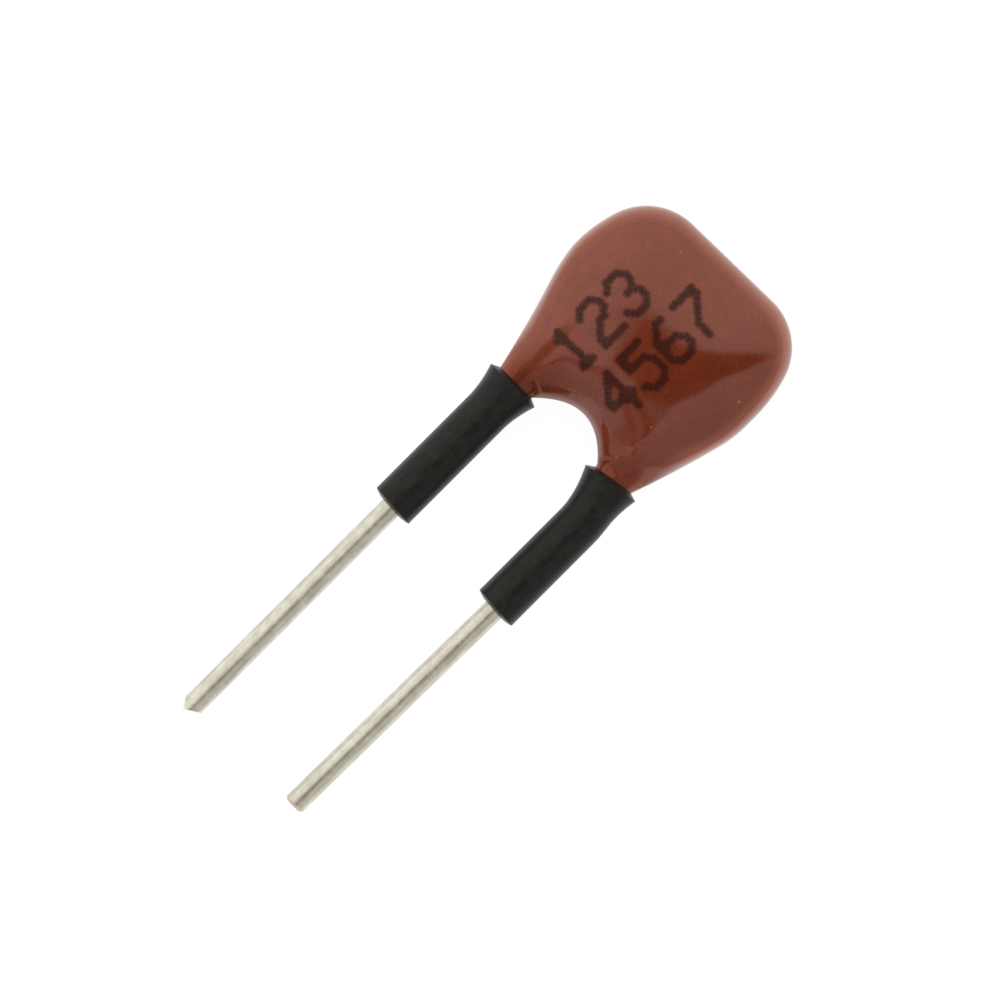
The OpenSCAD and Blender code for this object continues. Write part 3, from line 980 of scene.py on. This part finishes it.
@dataclass
class Marking:
    """Rows of dot-printed plain digits on the front of the body, read along the leads."""

    dot_r: float = 0.115
    soft: float = 0.1
    joins: tuple[tuple[int, int], ...] = ((0, 1), (1, 0), (1, 1), (1, -1))
    cell: float = 0.03
    lift: float = 0.003
    shake: float = 0.02
    margin: float = 0.25
    near: float = 0.3
    far: float = 1.0
    rows: tuple[tuple[str, Flat, Flat, float], ...] = (
        ("123", (-2.62, 1.96), (0.255, 0.23), 1.325),
        ("4567", (-0.38, 1.91), (0.262, 0.23), 1.327),
    )

    def dots(self, text: str, corner: Flat, pitch: Flat, letter_pitch: float) -> list[Flat]:
        """Return the middle of each dot of a row.

        Args:
            text: The digits.
            corner: The top left dot's place, with the text read along +Y.
            pitch: The distance between dots, down a digit and across it.
            letter_pitch: The distance between digits.

        Returns:
            The places, in the working frame.
        """
        draws = random.Random(text)
        places = []
        for number, letter in enumerate(text):
            inked = {(down, across) for down, line in enumerate(GLYPHS[letter])
                     for across, mark in enumerate(line) if mark == "#"}
            cells = list(inked)
            for down, across in inked:
                cells += [(down + to[0] / 2, across + to[1] / 2) for to in self.joins
                          if (down + to[0], across + to[1]) in inked]
            for down, across in sorted(cells):
                x = corner[0] + down * pitch[0] + draws.uniform(-self.shake, self.shake)
                y = corner[1] + number * letter_pitch + across * pitch[1]
                places.append((x, y + draws.uniform(-self.shake, self.shake)))
        return places

    def build(self, height: Callable[[float, float], float],
              finish: bpy.types.Material) -> list[bpy.types.Object]:
        """Lay each row on the body as a thin skin that shows only where it has ink.

        Args:
            height: The front's height over a place.
            finish: The ink.

        Returns:
            The rows.
        """
        made = []
        for number, row_values in enumerate(self.rows):
            dots = self.dots(*row_values)
            low = (min(x for x, _ in dots) - self.margin, min(y for _, y in dots) - self.margin)
            high = (max(x for x, _ in dots) + self.margin, max(y for _, y in dots) + self.margin)
            wide = int((high[0] - low[0]) / self.cell)
            tall = int((high[1] - low[1]) / self.cell)
            points, amounts = [], []
            for row in range(tall + 1):
                y = low[1] + row * self.cell
                near = [dot for dot in dots if abs(dot[1] - y) < self.near]
                for column in range(wide + 1):
                    x = low[0] + column * self.cell
                    gap = min((math.hypot(x - dot[0], y - dot[1]) for dot in near),
                              default=self.far)
                    cover = ease((gap - self.dot_r + self.soft) / (2 * self.soft))
                    amounts.append(1.0 - cover)
                    spot = to_part((x, y, 0.0))
                    points.append((spot[0], spot[1], height(x, y) + self.lift * MM))
            faces = [(row * (wide + 1) + column, row * (wide + 1) + column + 1,
                      (row + 1) * (wide + 1) + column + 1, (row + 1) * (wide + 1) + column)
                     for row in range(tall) for column in range(wide)]
            skin = mesh_object(f"marking_row_{number + 1}", points, faces, finish)
            layer = skin.data.attributes.new("ink", "FLOAT", "POINT")
            layer.data.foreach_set("value", amounts)
            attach(skin, "root")
            made.append(skin)
        return made


def dress_nodes(names: Sequence[str], finish: bpy.types.Material) -> None:
    """Give solids that stay in view one finish and report them.

    Args:
        names: The nodes.
        finish: The material.
    """
    for name in names:
        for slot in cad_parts[name].material_slots:
            slot.material = finish
        LOG.info("%s: %s", name, finish.name)


@dataclass(frozen=True)
class Leads:
    """The two tinned leads, which keep their solids."""

    nodes: tuple[str, ...] = ("lead_left", "lead_right")

    def dress(self, finish: bpy.types.Material) -> None:
        """Give both leads their finish."""
        dress_nodes(self.nodes, finish)


@dataclass(frozen=True)
class Sleeves:
    """The two black sleeves, which keep their solids."""

    nodes: tuple[str, ...] = ("sleeve_left", "sleeve_right")

    def dress(self, finish: bpy.types.Material) -> None:
        """Give both sleeves their finish."""
        dress_nodes(self.nodes, finish)


@dataclass(frozen=True)
class InnerWorks:
    """The plate, its fired layers and the solder, hidden in the coating as solids."""

    ceramic: InnerFinish = InnerFinish(
        "fired_ceramic", (0.86, 0.85, 0.81), (0.76, 0.75, 0.71),
        grain=9000.0, metallic=0.0, roughness=0.35)
    silver: InnerFinish = InnerFinish(
        "fired_silver", (0.74, 0.73, 0.70), (0.6, 0.59, 0.56),
        grain=12000.0, metallic=1.0, roughness=0.35)
    film: InnerFinish = InnerFinish(
        "resistive_film", (0.03, 0.03, 0.032), (0.015, 0.015, 0.017),
        grain=15000.0, metallic=0.0, roughness=0.5)
    glass: InnerFinish = InnerFinish(
        "green_glass", (0.07, 0.2, 0.11), (0.05, 0.15, 0.085),
        grain=8000.0, metallic=0.0, roughness=0.12)
    solder: InnerFinish = InnerFinish(
        "soft_solder", (0.62, 0.62, 0.6), (0.45, 0.45, 0.44),
        grain=7000.0, metallic=1.0, roughness=0.25)

    def dress(self) -> None:
        """Give every inner piece its finish."""
        dress_nodes(("ceramic_plate",), self.ceramic.material())
        dress_nodes(("pad_left", "pad_right"), self.silver.material())
        dress_nodes(("resistive_film",), self.film.material())
        dress_nodes(("overglaze",), self.glass.material())
        dress_nodes(("solder_left", "solder_right"), self.solder.material())


@dataclass(frozen=True)
class Card:
    """A dark strip overhead, seen only in the gloss, between two directions."""

    start: Flat
    end: Flat
    half_width: float
    depth: float
    blur: float = 0.05

    def cover(self, x: Value, y: Value) -> Value:
        """Return how much the card dims the light from a direction.

        Args:
            x: The direction's part along X.
            y: Its part along Y.

        Returns:
            The dimming, from 0 to 1.
        """
        run = (self.end[0] - self.start[0], self.end[1] - self.start[1])
        length = math.hypot(*run)
        from_start = (x - self.start[0], y - self.start[1])
        place = ((from_start[0] * run[0] + from_start[1] * run[1]) / length**2).held()
        gap_x, gap_y = from_start[0] - place * run[0], from_start[1] - place * run[1]
        gap = (gap_x * gap_x + gap_y * gap_y) ** 0.5
        edges = (self.half_width - self.blur, self.half_width + self.blur)
        return (1.0 - gap.step(*edges)) * self.depth


@dataclass
class Studio:
    """Pale floor, soft light from all round and dark cards overhead, seen only in the gloss."""

    level: float = 0.92
    side_fall: float = 0.34
    warmth: Colour = (1.0, 0.98, 0.92)
    top_rise: float = 0.25
    horizon: Span = (0.0, 0.15)
    floor_half: float = 0.4
    floor_drop: float = 0.00002
    floor_grey: float = 0.92
    floor_glow: float = 1.06
    floor_share: float = 0.9
    lamp_place: Point = (-0.35, 0.1, 0.28)
    lamp_size: float = 0.25
    lamp_power: float = 0.35
    cards: tuple[Card, ...] = (
        Card((0.15, 0.11), (0.46, 0.29), 0.16, 0.92, 0.06),
        Card((0.46, 0.28), (0.56, 0.42), 0.09, 0.85, 0.05),
        Card((0.12, 0.04), (0.38, 0.10), 0.13, 0.85, 0.06),
        Card((0.00, 0.02), (0.10, 0.03), 0.11, 0.85, 0.11),
        Card((0.12, 0.00), (0.14, -0.28), 0.11, 0.8, 0.07),
        Card((0.12, -0.32), (-0.10, -0.68), 0.09, 0.55, 0.07),
        Card((-0.12, -0.66), (-0.40, -0.78), 0.13, 0.5, 0.08),
    )

    def world(self) -> None:
        """Build the light from all round."""
        made = bpy.data.worlds.new("studio")
        bpy.context.scene.world = made
        graph = Graph(made)
        x, y, z = graph.parts(graph.node("ShaderNodeTexCoord").outputs["Generated"])
        rays = graph.node("ShaderNodeLightPath")
        camera = graph.value(rays, "Is Camera Ray")
        seen = graph.value(rays, "Is Glossy Ray") * z.step(*self.horizon)
        strength = (1.0 - self.side_fall * x + self.top_rise * y) * self.level
        for card in self.cards:
            strength = strength * (1.0 - card.cover(x, y) * seen)
        strength = strength * (1.0 - camera) + camera
        tint = graph.colour(camera, self.warmth, WHITE)
        shown = graph.node("ShaderNodeBackground", None, {"Color": tint, "Strength": strength})
        graph.node("ShaderNodeOutputWorld", None, {"Surface": shown.outputs[0]})

    def floor(self) -> None:
        """Lay the floor, which the camera and the gloss see as a white glow."""
        made = bpy.data.materials.new("pale_floor")
        graph = Graph(made)
        rays = graph.node("ShaderNodeLightPath")
        seen = graph.value(rays, "Is Camera Ray").larger(graph.value(rays, "Is Glossy Ray"))
        grey = (self.floor_grey, self.floor_grey, self.floor_grey, 1.0)
        matt = graph.node("ShaderNodeBsdfDiffuse", None, {"Color": grey})
        white = graph.node("ShaderNodeEmission", None,
                           {"Color": (*WHITE, 1.0), "Strength": self.floor_glow})
        shares = {0: seen * self.floor_share, 1: matt.outputs[0], 2: white.outputs[0]}
        both = graph.node("ShaderNodeMixShader", None, shares)
        graph.node("ShaderNodeOutputMaterial", None, {"Surface": both.outputs[0]})
        half, drop = self.floor_half, -self.floor_drop
        corners = [(-half, -half, drop), (half, -half, drop),
                   (half, half, drop), (-half, half, drop)]
        mesh_object("floor", corners, [(0, 1, 2, 3)], made)

    def lamp(self) -> None:
        """Hang a soft lamp that faces the part."""
        data = bpy.data.lights.new("side_lamp", "AREA")
        data.size = self.lamp_size
        data.energy = self.lamp_power
        made = bpy.data.objects.new("side_lamp", data)
        made.visible_glossy = False
        made.location = self.lamp_place
        made.rotation_euler = Vector(self.lamp_place).to_track_quat("Z", "Y").to_euler()
        bpy.context.scene.collection.objects.link(made)

    def build(self) -> None:
        """Build the light, the floor and the lamp."""
        self.world()
        self.floor()
        self.lamp()
        bpy.context.scene.view_settings.view_transform = "Standard"


@dataclass
class Viewpoint:
    """A distant camera straight above, with the leads running down to the left."""

    distance: float = 0.4
    aim: Flat = (0.12, 0.665)
    frame_mm: float = 35.04
    level: float = 1.1
    sensor: float = 36.0
    clip: Span = (0.01, 10.0)
    turn: float = 45.0

    def build(self) -> None:
        """Place the camera."""
        data = bpy.data.cameras.new("camera")
        data.sensor_width = self.sensor
        data.lens = self.sensor * (self.distance - self.level * MM) / (self.frame_mm * MM)
        data.clip_start, data.clip_end = self.clip
        made = bpy.data.objects.new("camera", data)
        made.location = (self.aim[0] * MM, self.aim[1] * MM, self.distance)
        made.rotation_euler = (0.0, 0.0, math.radians(self.turn))
        bpy.context.scene.collection.objects.link(made)
        bpy.context.scene.camera = made


def main() -> None:
    """Build every piece in order and report it."""
    Viewpoint().build()
    Studio().build()
    body = DippedBody()
    pieces = [body.build(DippedGloss().material())]
    pieces += Marking().build(body.surface_finder(), MarkingInk().material())
    for piece in pieces:
        LOG.info("%s: %d corners", piece.name, len(piece.data.vertices))
    Leads().dress(TinnedWire().material())
    Sleeves().dress(BlackTubing().material())
    InnerWorks().dress()


if __name__ == "__main__":
    logging.basicConfig(level=logging.INFO)
    main()
